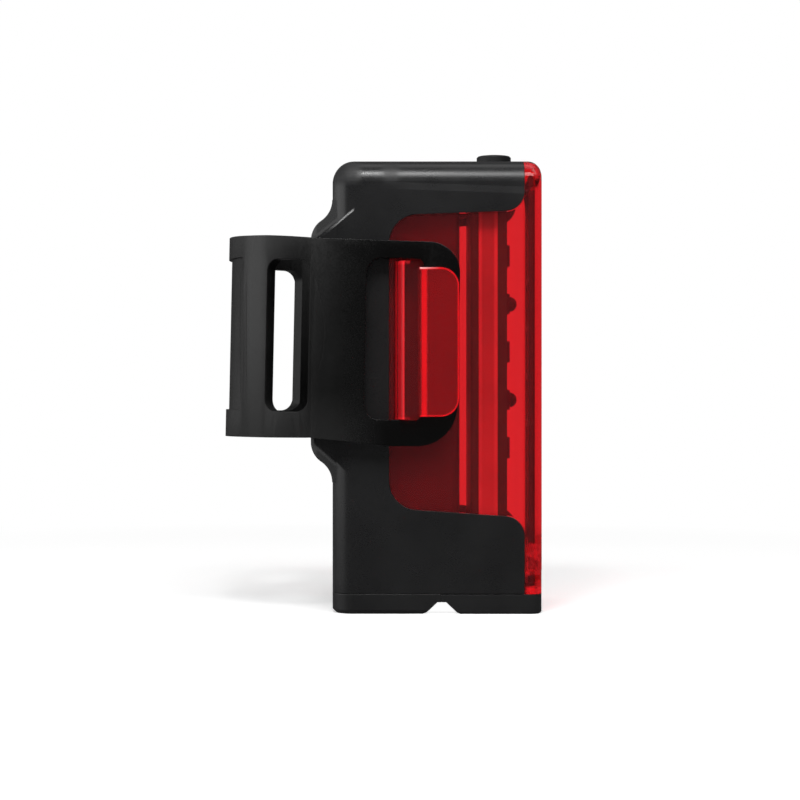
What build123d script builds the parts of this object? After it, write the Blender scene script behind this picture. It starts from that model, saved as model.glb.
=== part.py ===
from build123d import *
import os
from math import cos, radians, sin, sqrt

os.makedirs("parts", exist_ok=True)

# Driving dimensions, in millimetres. +Z is up, +X points out of the lens, and the origin is on the
# base, under the middle of the overall depth.

# Body form
body_width = 24.0
body_depth = 33.7
body_height = 73.7
crown_radius = 41.0
cap_height = 3.2
side_top_radius = 3.4
rear_edge_radius = 3.4
front_edge_radius = 1.9
least_radius = 0.4

# Walls and fits
housing_wall = 1.4
housing_top_wall = 1.6
housing_rear_wall = 2.2
lens_side_wall = 2.2
lens_front_wall = 1.1
lens_top_wall = 1.2
seam = 0.05
fit = 0.1
seat = 0.02
overrun = 1.0

# Places of the body worked out from them
strap_reach = 18.15
front_x = (body_depth + strap_reach) / 2
rear_x = front_x - body_depth
half_width = body_width / 2
ceiling = body_height - housing_top_wall

# Lens window in the side of the housing
lens_strip = 2.8
window_setback = 9.2
window_low_rear = 17.0
window_low_front = 15.5
window_margin_rear = 9.9
window_margin_front = 9.1
window_corner_radius = 4.6
window_finger_radius = 3.2
lens_skirt_height = 7.0
lens_lip = 1.2
strip_x = front_x - lens_strip
window_x = rear_x + window_setback
window_high_rear = body_height - window_margin_rear
window_high_front = body_height - window_margin_front
window_middle = (window_low_rear + window_high_rear) / 2

# Hooks of the lens
hook_rise = 3.05
hook_ahead = 0.7
hook_root_depth = 3.8
hook_length = 10.35
hook_lean = 1.3
hook_bulge_reach = 2.6
hook_thickness = 1.5
hook_gap = 0.2
hook_height = 23.6
hook_root_height = 25.1
hook_root_rise = 0.3
hook_tip_radius = 2.9
hook_corner_radius = 1.2
hook_middle = window_middle + hook_rise
hook_back_x = window_x + hook_ahead
hook_front_x = hook_back_x + hook_root_depth
hook_tip_x = hook_back_x + hook_length
hook_root_middle = hook_middle + hook_root_rise

# Strap: thickness, and its edges above and below the middle of the hooks
strap_side_gap = 0.3
strap_thickness = 2.3
strap_end_thickness = 1.6
strap_bar_width = 5.8
strap_stub = 0.6
strap_tilt = 1.2
strap_drop_rear = 15.95
strap_drop_middle = 15.65
strap_drop_front = 16.7
strap_rise_rear = 16.9
strap_rise_middle = 16.05
strap_rise_front = 15.9
strap_tip_low_radius = 6.5
strap_tip_high_radius = 5.0
strap_joint_gap = 0.1
turn_inner_radius = half_width + strap_side_gap
turn_outer_radius = turn_inner_radius + strap_thickness
strap_end_half = turn_inner_radius + strap_end_thickness
turn_x = turn_outer_radius - front_x + strap_drop_rear * sin(radians(strap_tilt))
bar_x = hook_tip_x - strap_bar_width
end_x = bar_x - strap_stub
hook_under = strap_end_half + hook_gap
hook_outer = hook_under + hook_thickness

# Windows of the strap, round its turn and in its arms
slot_width = 7.9
slot_height = 24.3
slot_rise = 0.55
slot_corner_radius = 1.0
near_slot_angle = 20.75
far_slot_angle = 139.75
panel_angle = 80.35
panel_width = 14.2
panel_height = 24.7
panel_rise = 0.85
panel_depth = 0.5
panel_corner_radius = 0.8
hook_window_width = 9.1
hook_window_gap = 0.3
slot_middle = hook_middle + slot_rise
panel_middle = hook_middle + panel_rise

# Saddle for the seatpost
post_radius = 14.0
saddle_reach = 3.5
saddle_inset = 1.4
saddle_height = 45.4
saddle_rise = 0.27
saddle_flare = 6.6
saddle_edge_radius = 1.2
saddle_floor = 0.25
pad_thickness = 1.0
pad_proud = 0.2
pad_inset = 2.6
pad_end_margin = 8.5
saddle_x = rear_x - saddle_reach
post_x = rear_x - saddle_floor - post_radius
saddle_half_width = half_width - saddle_inset
saddle_low = hook_middle + saddle_rise - saddle_height / 2
saddle_high = saddle_low + saddle_height
pad_half_width = saddle_half_width - pad_inset
pad_low_z = saddle_low + pad_end_margin
pad_high_z = saddle_high - pad_end_margin

# Base: plate, notch and port
plate_thickness = 1.6
cap_edge = 0.6
hinge_to_port = 7.2
notch_depth = 1.9
notch_top_width = 1.4
notch_mouth_width = 5.4
notch_lip = 0.35
lip_share = 0.7
hinge_gap = 0.1
flap_gap = 0.08
flap_edge = 0.3
port_centre_setback = 8.9
plug_length = 3.8
plug_width = 8.2
plug_corner_radius = 0.8
plug_fit = 0.2
plug_swing = 0.55
seal_height = 0.8
seal_depth = 0.7
screw_head_radius = 1.5
screw_radius = 0.75
screw_length = 5.6
screw_head_height = 0.75
screw_inset = 5.0
screw_ahead = 1.5
port_x = front_x - port_centre_setback
hinge_x = port_x - hinge_to_port
plate_top = cap_height + plate_thickness
screw_x = hinge_x + screw_ahead
screw_spread = half_width - screw_inset

# Boards and what they carry
board_thickness = 1.3
control_board_setback = 10.1
led_board_setback = 5.5
led_board_thickness = 1.5
board_inset = 0.5
board_low_gap = 0.4
board_high_gap = 3.2
led_stand = 0.4
led_body_depth = 0.5
led_size = 3.5
dome_base_size = 3.3
dome_radius = 1.28
dome_steps = (20, 40, 60, 76)
led_pitch = 7.96
led_rise = 1.86
led_pad_width = 0.8
spacer_low_gap = 5.8
spacer_high_gap = 2.9
spacer_bar = 1.0
control_front_x = front_x - control_board_setback
control_back_x = control_front_x - board_thickness
led_front_x = front_x - led_board_setback
led_back_x = led_front_x - led_board_thickness
board_half_width = half_width - lens_side_wall - board_inset
board_low = plate_top + board_low_gap
board_high = ceiling - board_high_gap
spacer_low = board_low + spacer_low_gap
spacer_high = board_high - spacer_high_gap
led_middle = window_middle + led_rise

# Optic frame
optic_thickness = 0.9
optic_low_gap = 6.6
optic_high_gap = 4.1
optic_border = 2.6
optic_bar = 1.2
optic_foot_width = 2.0
optic_boss_depth = 0.84
optic_boss_height = 1.9
optic_boss_rise = 1.8
optic_back_x = front_x - lens_front_wall - seat - optic_thickness
optic_low = plate_top + optic_low_gap
optic_high = ceiling - optic_high_gap
optic_half_width = half_width - lens_side_wall - fit

# Battery and cradle
cradle_front_setback = 13.15
cradle_inset = 0.4
cradle_wall = 2.25
cradle_high_gap = 3.5
cradle_low_wall = 3.1
cradle_corner_radius = 1.2
cradle_peg_radius = 1.2
cradle_peg_rise = 5.2
cradle_peg_drop = 2.0
cell_headroom = 10.54
cell_fit = 0.15
cell_cap_radius = 2.6
cell_cap_height = 0.5
cell_rim = 0.45
pad_height = 1.5
lead_radius = 0.45
lead_spread = 2.2
lead_drop = 3.4
lead_bend_share = 0.45
lead_sides = 6
lead_bay_width = 7.0
cradle_front_x = front_x - cradle_front_setback
cradle_back_x = rear_x + housing_rear_wall + fit
cradle_half_width = half_width - lens_side_wall - cradle_inset
cell_x = (cradle_front_x + cradle_back_x) / 2
cell_radius = min(cradle_front_x - cell_x, cradle_half_width) - cradle_wall - cell_fit
cradle_low = plate_top + seat
cradle_high = ceiling - cradle_high_gap
pad_low = cradle_low + cradle_low_wall
cell_low = pad_low + pad_height + seat
cell_high = cradle_high - cell_headroom
lead_height = cradle_high - lead_drop

# Button and switch
button_setback = 7.15
button_radius = 2.85
button_rise = 1.1
button_dish_half_length = 4.1
button_dish_half_width = 7.0
button_dish_depth = 0.6
flange_seat_drop = 0.35
button_travel = 0.5
button_edge = 0.2
button_fit = 0.12
flange_extra = 0.75
flange_height = 0.6
stem_radius = 1.1
button_seal_width = 0.8
button_seal_height = 0.8
switch_half_width = 3.0
switch_depth = 2.8
switch_height = 2.4
plunger_radius = 0.9
plunger_rise = 0.55
plunger_depth = 0.5
plunger_play = 0.15
switch_x = (control_front_x + led_back_x) / 2
button_x = front_x - button_setback
flange_seat = ceiling - flange_seat_drop
flange_top = flange_seat - seat
flange_radius = button_radius + flange_extra
seal_ring_radius = flange_radius + fit + button_seal_width
flange_low = flange_top - flange_height
switch_low = spacer_high + seat
switch_top = switch_low + switch_height
plunger_top = switch_top + plunger_rise

# Charging socket
socket_width = 7.5
socket_depth = 2.5
socket_height = 5.0
socket_wall = 0.3
socket_corner_radius = 0.7
tongue_width = 4.6
tongue_thickness = 0.7
plug_top_gap = 0.3


def block(x, y, z):
    """A plain box between two places on each axis, used to trim forms."""
    with BuildPart(mode=Mode.PRIVATE) as trim:
        with BuildSketch(Plane.XY.offset(z[0])):
            with Locations(((x[0] + x[1]) / 2, (y[0] + y[1]) / 2)):
                Rectangle(x[1] - x[0], y[1] - y[0])
        extrude(amount=z[1] - z[0])
    return trim.part


def body_form(bottom, rear=0, front=0, side=0, top=0, rounded=False):
    """The form of the light down to a level, drawn in by its walls, with or without rounded ends."""
    half = half_width - side
    crown = body_height - top
    shoulder_z = crown - crown_radius + sqrt(crown_radius**2 - half**2)
    shoulder = max(side_top_radius - max(side, top), least_radius)
    with BuildPart(mode=Mode.PRIVATE) as form:
        with BuildSketch(Plane.YZ.offset(rear_x + rear)) as section:
            with BuildLine():
                Polyline((-half, shoulder_z), (-half, bottom), (half, bottom), (half, shoulder_z))
                ThreePointArc((-half, shoulder_z), (0, crown), (half, shoulder_z))
            make_face()
            fillet(section.vertices().group_by(Axis.Y)[-1], shoulder)
        extrude(amount=body_depth - rear - front)
        if rounded:
            fillet(form.faces().sort_by(Axis.X)[0].edges().sort_by(Axis.Z)[1:], rear_edge_radius)
            fillet(form.faces().sort_by(Axis.X)[-1].edges().sort_by(Axis.Z)[1:], front_edge_radius)
    return form.part


def lens_zone(grow=0):
    """The region of the side view that is red: the window and the strip ahead of the housing."""
    beyond = body_height + overrun
    with BuildPart(mode=Mode.PRIVATE) as zone:
        with BuildSketch(Plane.XZ) as outline:
            with BuildLine():
                Polyline(
                    (window_x, window_low_rear),
                    (strip_x, window_low_front),
                    (strip_x, -overrun),
                    (front_x + overrun, -overrun),
                    (front_x + overrun, beyond),
                    (strip_x, beyond),
                    (strip_x, window_high_front),
                    (window_x, window_high_rear),
                    close=True,
                )
            make_face()
            fillet(outline.vertices().group_by(Axis.X)[1].sort_by(Axis.Y)[1:3], window_finger_radius)
            fillet(outline.vertices().group_by(Axis.X)[0], window_corner_radius)
            if grow:
                offset(amount=grow)
        extrude(amount=body_width, both=True)
    return zone.part


def post_round(radius, low, high):
    """The space of a seatpost against the saddle."""
    with BuildPart(mode=Mode.PRIVATE) as post:
        with BuildSketch(Plane.XY.offset(low)):
            with Locations((post_x, 0)):
                Circle(radius)
        extrude(amount=high - low)
    return post.part


outer_form = body_form(0, rounded=True)
wide = (-body_width, body_width)
deep = (-body_depth - strap_reach, body_depth + strap_reach)
above_cap = block(deep, wide, (cap_height, body_height + overrun))

# Saddle: a bulge behind the housing that flares in and out of its rear face, rounded in plan
saddle_back = cradle_back_x + overrun
flare_middle_x = (rear_x + saddle_x) / 2
with BuildPart() as saddle:
    with BuildSketch(Plane.XY.offset(saddle_low)) as saddle_plan:
        with Locations(((saddle_x + saddle_back) / 2, 0)):
            Rectangle(saddle_back - saddle_x, saddle_half_width * 2)
        fillet(saddle_plan.vertices().group_by(Axis.X)[0], saddle_edge_radius)
    extrude(amount=saddle_high - saddle_low)
    with BuildSketch(Plane.XZ):
        with BuildLine():
            high_middle = (flare_middle_x, saddle_high - saddle_flare / 2)
            high_flare = TangentArc((rear_x, saddle_high), high_middle, tangent=(0, -1))
            TangentArc(high_flare @ 1, (saddle_x, saddle_high - saddle_flare), tangent=high_flare % 1)
            Line((saddle_x, saddle_high - saddle_flare), (saddle_x, saddle_low + saddle_flare))
            low_middle = (flare_middle_x, saddle_low + saddle_flare / 2)
            low_flare = TangentArc((rear_x, saddle_low), low_middle, tangent=(0, 1))
            TangentArc(low_flare @ 1, (saddle_x, saddle_low + saddle_flare), tangent=low_flare % 1)
            Polyline(
                (rear_x, saddle_low),
                (saddle_back, saddle_low),
                (saddle_back, saddle_high),
                (rear_x, saddle_high),
            )
        make_face()
    extrude(amount=body_width, both=True, mode=Mode.INTERSECT)

pocket_zone = block((saddle_x - overrun, front_x), (-pad_half_width, pad_half_width), (pad_low_z, pad_high_z))
with BuildPart() as pad_pocket:
    add(post_round(post_radius + pad_thickness, saddle_low, saddle_high))
    add(pocket_zone, mode=Mode.INTERSECT)

# Housing: the black shell, open in front and below
housing_cavity = body_form(-overrun, housing_rear_wall, -overrun, housing_wall, housing_top_wall)
with BuildPart() as housing:
    add(outer_form)
    add(above_cap, mode=Mode.INTERSECT)
    add(saddle.part)
    add(post_round(post_radius, saddle_low - overrun, saddle_high + overrun), mode=Mode.SUBTRACT)
    add(pad_pocket.part, mode=Mode.SUBTRACT)
    add(housing_cavity, mode=Mode.SUBTRACT)
    add(lens_zone(seam), mode=Mode.SUBTRACT)
    with BuildSketch(Plane.XY.offset(flange_seat)):
        with Locations((button_x, 0)):
            Circle(seal_ring_radius)
    extrude(amount=housing_top_wall / 2)
    with BuildSketch(Plane.XY.offset(body_height - button_dish_depth)):
        with Locations((button_x, 0)):
            Ellipse(button_dish_half_length, button_dish_half_width)
    extrude(amount=overrun, mode=Mode.SUBTRACT)
    with BuildSketch(Plane.XY.offset(ceiling - overrun)):
        with Locations((button_x, 0)):
            Circle(button_radius + button_fit)
    extrude(amount=housing_top_wall + overrun + overrun, mode=Mode.SUBTRACT)
housing.part.label = "housing"
export_step(housing.part, "parts/housing.step")

# Saddle pad: a rubber liner that stands a little proud of the saddle
with BuildPart() as saddle_pad:
    add(post_round(post_radius + pad_thickness - seat, pad_low_z + fit, pad_high_z - fit))
    pad_box = pad_half_width - fit
    add(block((saddle_x - overrun, front_x), (-pad_box, pad_box), (pad_low_z, pad_high_z)), mode=Mode.INTERSECT)
    add(post_round(post_radius - pad_proud, saddle_low, saddle_high), mode=Mode.SUBTRACT)
saddle_pad.part.label = "saddle_pad"
export_step(saddle_pad.part, "parts/saddle_pad.step")


def lens_hook(side):
    """One strap hook: a root out of the side wall, and a tab that reaches forward over the strap."""
    with BuildPart(mode=Mode.PRIVATE) as hook:
        with BuildSketch(Plane.XY.offset(hook_root_middle - hook_root_height / 2)) as plan:
            with BuildLine():
                Polyline(
                    (hook_back_x, side * (half_width - housing_wall)),
                    (hook_back_x, side * half_width),
                    (hook_back_x + hook_lean, side * hook_outer),
                    (hook_tip_x, side * hook_outer),
                    (hook_tip_x, side * hook_under),
                    (hook_front_x, side * hook_under),
                    (hook_front_x, side * (half_width - housing_wall)),
                    close=True,
                )
            make_face()
            corner = (hook_back_x + hook_lean, side * hook_outer)
            fillet(plan.vertices().sort_by_distance(corner)[0], hook_corner_radius)
        extrude(amount=hook_root_height)
        with BuildSketch(Plane.XZ) as outline:
            with Locations(((hook_back_x - overrun + hook_tip_x) / 2, hook_middle)):
                Rectangle(hook_length + overrun, hook_height)
            fillet(outline.vertices().group_by(Axis.X)[-1], hook_tip_radius)
            with Locations((hook_back_x + (hook_bulge_reach - overrun) / 2, hook_root_middle)):
                Rectangle(hook_bulge_reach + overrun, hook_root_height)
        extrude(amount=body_width, both=True, mode=Mode.INTERSECT)
    return hook.part


# Lens: front wall, side walls that fill the windows, a lip behind the housing's walls, two hooks
lip_form = body_form(-overrun, 0, 0, housing_wall + seam, housing_top_wall + seam)
lip_zone = lens_zone(lens_lip)
lip_reach = block(deep, wide, (lens_skirt_height, ceiling))
with BuildPart() as lens_lips:
    add(lip_form)
    add(lip_zone, mode=Mode.INTERSECT)
    add(lip_reach, mode=Mode.INTERSECT)
lens_cavity = body_form(lens_skirt_height, -overrun, lens_front_wall, lens_side_wall, lens_top_wall)
skirt_cavity = body_form(-overrun, -overrun, lens_front_wall, housing_wall, lens_top_wall)
skirt_zone = block(deep, wide, (0, lens_skirt_height))
with BuildPart() as lens_skirt_cavity:
    add(skirt_cavity)
    add(skirt_zone, mode=Mode.INTERSECT)
with BuildPart() as lens:
    add(outer_form)
    add(above_cap, mode=Mode.INTERSECT)
    add(lens_zone(), mode=Mode.INTERSECT)
    add(lens_lips.part)
    add(lens_cavity, mode=Mode.SUBTRACT)
    add(lens_skirt_cavity.part, mode=Mode.SUBTRACT)
    add(lens_hook(1))
    add(lens_hook(-1))
lens.part.label = "lens"
export_step(lens.part, "parts/lens.step")

# Optic frame: a dark grid behind the front wall, on two feet, with an upper boss
optic_inner_half = optic_half_width - optic_border
optic_bars = (-1.5, -0.5, 0.5, 1.5)
with BuildPart() as optic_frame:
    with BuildSketch(Plane.YZ.offset(optic_back_x)):
        with Locations((0, (optic_low + optic_high) / 2)):
            Rectangle(optic_half_width * 2, optic_high - optic_low)
            Rectangle(optic_inner_half * 2, optic_high - optic_low - optic_border * 2, mode=Mode.SUBTRACT)
        with Locations(*[(0, led_middle + led_pitch * n) for n in optic_bars]):
            Rectangle(optic_inner_half * 2, optic_bar)
        foot_y = optic_half_width - optic_foot_width / 2
        foot_height = optic_low - plate_top - seat
        with Locations((foot_y, optic_low - foot_height / 2), (-foot_y, optic_low - foot_height / 2)):
            Rectangle(optic_foot_width, foot_height)
    extrude(amount=optic_thickness)
    boss_y = optic_inner_half
    with BuildSketch(Plane.XZ):
        with Locations((optic_back_x + optic_thickness / 2, optic_high + optic_boss_rise)):
            SlotOverall(optic_boss_height, optic_boss_depth, rotation=90)
    extrude(amount=boss_y, both=True)
    with BuildSketch(Plane.YZ.offset(optic_back_x)):
        with Locations((0, optic_high + optic_boss_rise / 2)):
            Rectangle(optic_border, optic_boss_rise)
    extrude(amount=optic_thickness)
optic_frame.part.label = "optic_frame"
export_step(optic_frame.part, "parts/optic_frame.step")

# Base notch: the groove that lets the front half of the base fold down
with BuildPart() as notch:
    with BuildSketch(Plane.XZ) as notch_outline:
        with BuildLine():
            Polyline(
                (hinge_x - notch_mouth_width / 2 - notch_lip, 0),
                (hinge_x - notch_mouth_width / 2 + notch_lip * lip_share, notch_lip * lip_share),
                (hinge_x - notch_top_width / 2, notch_depth),
                (hinge_x + notch_top_width / 2, notch_depth),
                (hinge_x + notch_mouth_width / 2 - notch_lip * lip_share, notch_lip * lip_share),
                (hinge_x + notch_mouth_width / 2 + notch_lip, 0),
                close=True,
            )
        make_face()
    extrude(amount=body_width, both=True)


def rounded_block(x, y, z, radius):
    """A box whose upright edges are rounded."""
    with BuildPart(mode=Mode.PRIVATE) as trim:
        with BuildSketch(Plane.XY.offset(z[0])):
            with Locations(((x[0] + x[1]) / 2, (y[0] + y[1]) / 2)):
                RectangleRounded(x[1] - x[0], y[1] - y[0], radius)
        extrude(amount=z[1] - z[0])
    return trim.part


plug_back_x = port_x - plug_length / 2
plug_front_x = port_x + plug_length / 2
plug_half = plug_width / 2
port_hole = rounded_block(
    (plug_back_x - plug_fit, plug_front_x + plug_swing),
    (-plug_half - plug_fit, plug_half + plug_fit),
    (cap_height - overrun, plate_top + overrun),
    plug_corner_radius,
)
seal_low = cap_height + (plate_thickness - seal_height) / 2


def inner_slab(wall_gap, z):
    """A slab that fills the inside of the walls, less a gap."""
    with BuildPart(mode=Mode.PRIVATE) as slab:
        add(body_form(-overrun, housing_rear_wall + wall_gap, lens_front_wall + wall_gap, housing_wall + wall_gap))
        add(block(deep, wide, z), mode=Mode.INTERSECT)
    return slab.part


plate_zone = (cap_height, plate_top)
seal_levels = (seal_low, seal_low + seal_height)
with BuildPart() as seal_groove:
    add(inner_slab(0, seal_levels))
    add(inner_slab(fit + seal_depth, seal_levels), mode=Mode.SUBTRACT)

# Base cap: the fixed rear half of the end cap, in one piece with the plate that closes the body
with BuildPart() as base_cap:
    add(outer_form)
    rear_half = block((rear_x - overrun, hinge_x - hinge_gap / 2), wide, (0, cap_height))
    add(rear_half, mode=Mode.INTERSECT)
    add(notch.part, mode=Mode.SUBTRACT)
    chamfer(base_cap.faces().sort_by(Axis.Z)[0].edges().sort_by(Axis.X)[:-1], cap_edge)
    add(inner_slab(fit, plate_zone))
    add(port_hole, mode=Mode.SUBTRACT)
    add(seal_groove.part, mode=Mode.SUBTRACT)
    with Locations(*[Location((screw_x, side * screw_spread, cap_height), (180, 0, 0)) for side in (1, -1)]):
        CounterBoreHole(
            screw_radius + fit,
            screw_head_radius + fit,
            screw_head_height + seat,
            depth=plate_thickness + overrun,
        )
base_cap.part.label = "base_cap"
export_step(base_cap.part, "parts/base_cap.step")

# Base seal: a rubber ring in the groove of the plate
with BuildPart() as base_seal:
    seal_span = (seal_low + seat, seal_low + seal_height - seat)
    add(inner_slab(seat, seal_span))
    add(inner_slab(fit + seal_depth - seat, seal_span), mode=Mode.SUBTRACT)
base_seal.part.label = "base_seal"
export_step(base_seal.part, "parts/base_seal.step")

# Port flap: the front half of the end cap, with the plug of the charging port
with BuildPart() as port_flap:
    add(outer_form)
    front_half = block((hinge_x + hinge_gap / 2, front_x + overrun), wide, (0, cap_height - flap_gap))
    add(front_half, mode=Mode.INTERSECT)
    add(notch.part, mode=Mode.SUBTRACT)
    chamfer(port_flap.faces().sort_by(Axis.Z)[0].edges().sort_by(Axis.X)[1:], flap_edge)
    with BuildSketch(Plane.XY.offset(cap_height - flap_gap)):
        with Locations((port_x, 0)):
            RectangleRounded(plug_length, plug_width, plug_corner_radius)
    extrude(amount=flap_gap + plate_thickness)
port_flap.part.label = "port_flap"
export_step(port_flap.part, "parts/port_flap.step")

# Base screws: flat heads sunk in the plate, shanks in the cradle
with BuildPart() as base_screws:
    with BuildSketch(Plane.XY.offset(cap_height)):
        with Locations((screw_x, screw_spread), (screw_x, -screw_spread)):
            Circle(screw_head_radius)
    extrude(amount=screw_head_height)
    with BuildSketch(Plane.XY.offset(cap_height)):
        with Locations((screw_x, screw_spread), (screw_x, -screw_spread)):
            Circle(screw_radius)
    extrude(amount=screw_length)
base_screws.part.label = "base_screws"
export_step(base_screws.part, "parts/base_screws.step")

# Battery cradle: a tall block bored for the cell, with a bay for its leads and pegs for the board
with BuildPart() as battery_cradle:
    with BuildSketch(Plane.XY.offset(cradle_low)):
        with Locations((cell_x, 0)):
            RectangleRounded(cradle_front_x - cradle_back_x, cradle_half_width * 2, cradle_corner_radius)
    extrude(amount=cradle_high - cradle_low)
    with BuildSketch(Plane.XY.offset(pad_low)):
        with Locations((cell_x, 0)):
            Circle(cell_radius + cell_fit)
    extrude(amount=cradle_high - pad_low + overrun, mode=Mode.SUBTRACT)
    with BuildSketch(Plane.XY.offset(cell_high + cell_cap_height)):
        with Locations((cradle_front_x, 0)):
            Rectangle(cell_radius * 2, lead_bay_width)
    extrude(amount=cradle_high - cell_high + overrun, mode=Mode.SUBTRACT)
    with BuildSketch(Plane.YZ.offset(cradle_front_x)):
        peg_high = cradle_high - cradle_peg_drop
        with Locations((0, cradle_low + cradle_peg_rise), (lead_bay_width, peg_high), (-lead_bay_width, peg_high)):
            Circle(cradle_peg_radius)
    extrude(amount=control_back_x - cradle_front_x - seat)
    with Locations(*[Location((screw_x, side * screw_spread, cradle_low), (180, 0, 0)) for side in (1, -1)]):
        Hole(screw_radius + seat, depth=screw_length)
battery_cradle.part.label = "battery_cradle"
export_step(battery_cradle.part, "parts/battery_cradle.step")

# Foam pad under the cell
with BuildPart() as foam_pad:
    with BuildSketch(Plane.XY.offset(pad_low + seat)):
        with Locations((cell_x, 0)):
            Circle(cell_radius)
    extrude(amount=pad_height - seat)
foam_pad.part.label = "foam_pad"
export_step(foam_pad.part, "parts/foam_pad.step")

# Battery cell with its rims and its contact
with BuildPart() as battery_cell:
    with BuildSketch(Plane.XY.offset(cell_low)):
        with Locations((cell_x, 0)):
            Circle(cell_radius)
    extrude(amount=cell_high - cell_low)
    chamfer(battery_cell.edges().filter_by(GeomType.CIRCLE).sort_by(Axis.Z)[-1], cell_rim)
    with BuildSketch(Plane.XY.offset(cell_high)):
        with Locations((cell_x, 0)):
            Circle(cell_cap_radius)
    extrude(amount=cell_cap_height)
battery_cell.part.label = "battery_cell"
export_step(battery_cell.part, "parts/battery_cell.step")

# Battery leads: from the top of the cell, up and forward to the control board
with BuildPart() as battery_leads:
    for side in (1, -1):
        lead_y = side * lead_spread
        lead_foot = cell_high + seat + (cell_cap_height if lead_spread < cell_cap_radius else 0)
        rise = lead_height - lead_foot
        run = control_back_x - seat - cell_x
        with BuildLine() as lead_path:
            FilletPolyline(
                (cell_x, lead_y, lead_foot),
                (cell_x, lead_y, lead_height),
                (control_back_x - seat, lead_y, lead_height),
                radius=lead_bend_share * min(rise, run),
            )
        with BuildSketch(Plane((cell_x, lead_y, lead_foot))):
            RegularPolygon(lead_radius, lead_sides)
        sweep(path=lead_path.wires()[0])
battery_leads.part.label = "battery_leads"
export_step(battery_leads.part, "parts/battery_leads.step")

# Control board, upright, with its chips
with BuildPart() as control_board:
    with BuildSketch(Plane.YZ.offset(control_back_x)) as control_outline:
        with Locations((0, (board_low + board_high) / 2)):
            RectangleRounded(board_half_width * 2, board_high - board_low, cradle_corner_radius)
    extrude(amount=board_thickness)
control_board.part.label = "control_board"
export_step(control_board.part, "parts/control_board.step")

chip_height = 0.9
chip_large = 4.0
chip_small = 2.4
chip_row = 30.0
chip_step = 9.0
with BuildPart() as control_chips:
    with BuildSketch(Plane.YZ.offset(control_front_x + seat)):
        with Locations((0, chip_row)):
            Rectangle(chip_large, chip_large)
        with Locations((-chip_small, chip_row + chip_step), (chip_small, chip_row + chip_step)):
            Rectangle(chip_small, chip_large)
        with Locations((0, chip_row - chip_step)):
            Rectangle(chip_large, chip_small)
    extrude(amount=chip_height)
control_chips.part.label = "control_chips"
export_step(control_chips.part, "parts/control_chips.step")

# Board spacer: a translucent frame that holds the two boards apart
with BuildPart() as board_spacer:
    with BuildSketch(Plane.YZ.offset(control_front_x + seat)):
        with Locations((0, (spacer_low + spacer_high) / 2)):
            Rectangle(board_half_width * 2, spacer_high - spacer_low)
            Rectangle(
                (board_half_width - spacer_bar) * 2,
                spacer_high - spacer_low - spacer_bar * 2,
                mode=Mode.SUBTRACT,
            )
    extrude(amount=led_back_x - control_front_x - seat - seat)
board_spacer.part.label = "board_spacer"
export_step(board_spacer.part, "parts/board_spacer.step")

# LED board and its two kinds of light
with BuildPart() as led_board:
    with BuildSketch(Plane.YZ.offset(led_back_x)):
        with Locations((0, (board_low + board_high) / 2)):
            RectangleRounded(board_half_width * 2, board_high - board_low, cradle_corner_radius)
    extrude(amount=led_board_thickness)
led_board.part.label = "led_board"
export_step(led_board.part, "parts/led_board.step")

flat_steps = (-2, 0, 2)
dome_rows = (-1, 1)
flat_places = [(0, led_middle + led_pitch * n) for n in flat_steps]
dome_places = [(0, led_middle + led_pitch * n) for n in dome_rows]


def led_body(places, size):
    """Square packages that stand off the board on two pads each."""
    with BuildPart(mode=Mode.PRIVATE) as bodies:
        with BuildSketch(Plane.YZ.offset(led_front_x + seat)):
            with Locations(*places):
                with Locations((0, (size - led_pad_width) / 2), (0, (led_pad_width - size) / 2)):
                    Rectangle(size, led_pad_width)
        extrude(amount=led_stand - seat)
        with BuildSketch(Plane.YZ.offset(led_front_x + led_stand)):
            with Locations(*places):
                Rectangle(size, size)
        extrude(amount=led_body_depth)
    return bodies.part


well_share = 0.7
well_depth_share = 0.5
with BuildPart() as flat_leds:
    add(led_body(flat_places, led_size))
    with BuildSketch(Plane.YZ.offset(led_front_x + led_stand + led_body_depth)):
        with Locations(*flat_places):
            Rectangle(led_size * well_share, led_size * well_share)
    extrude(amount=-led_body_depth * well_depth_share, mode=Mode.SUBTRACT)
flat_leds.part.label = "flat_leds"
export_step(flat_leds.part, "parts/flat_leds.step")

dome_x = led_front_x + led_stand + led_body_depth
with BuildPart() as dome:
    with BuildSketch(Plane.XY):
        with BuildLine():
            Polyline(
                (0, 0),
                (0, dome_radius),
                *[(dome_radius * sin(radians(a)), dome_radius * cos(radians(a))) for a in dome_steps],
                (dome_radius, 0),
                close=True,
            )
        make_face()
    revolve(axis=Axis.X)
with BuildPart() as domed_leds:
    add(led_body(dome_places, dome_base_size))
    with Locations(*[(dome_x, y, z) for y, z in dome_places]):
        add(dome.part)
domed_leds.part.label = "domed_leds"
export_step(domed_leds.part, "parts/domed_leds.step")

# Tactile switch on the control board, its plunger upward
plunger_pocket = plunger_depth + button_travel + plunger_play
with BuildPart() as switch_body:
    with BuildSketch(Plane.XY.offset(switch_low)):
        with Locations((control_front_x + seat + switch_depth / 2, 0)):
            Rectangle(switch_depth, switch_half_width * 2)
    extrude(amount=switch_height)
    with BuildSketch(Plane.XY.offset(switch_top - plunger_pocket)):
        with Locations((switch_x, 0)):
            Circle(plunger_radius + fit)
    extrude(amount=plunger_pocket + overrun, mode=Mode.SUBTRACT)
switch_body.part.label = "switch_body"
export_step(switch_body.part, "parts/switch_body.step")

with BuildPart() as switch_plunger:
    with BuildSketch(Plane.XY.offset(switch_top - plunger_depth)):
        with Locations((switch_x, 0)):
            Circle(plunger_radius)
    extrude(amount=plunger_depth + plunger_rise)
switch_plunger.part.label = "switch_plunger"
export_step(switch_plunger.part, "parts/switch_plunger.step")

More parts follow.
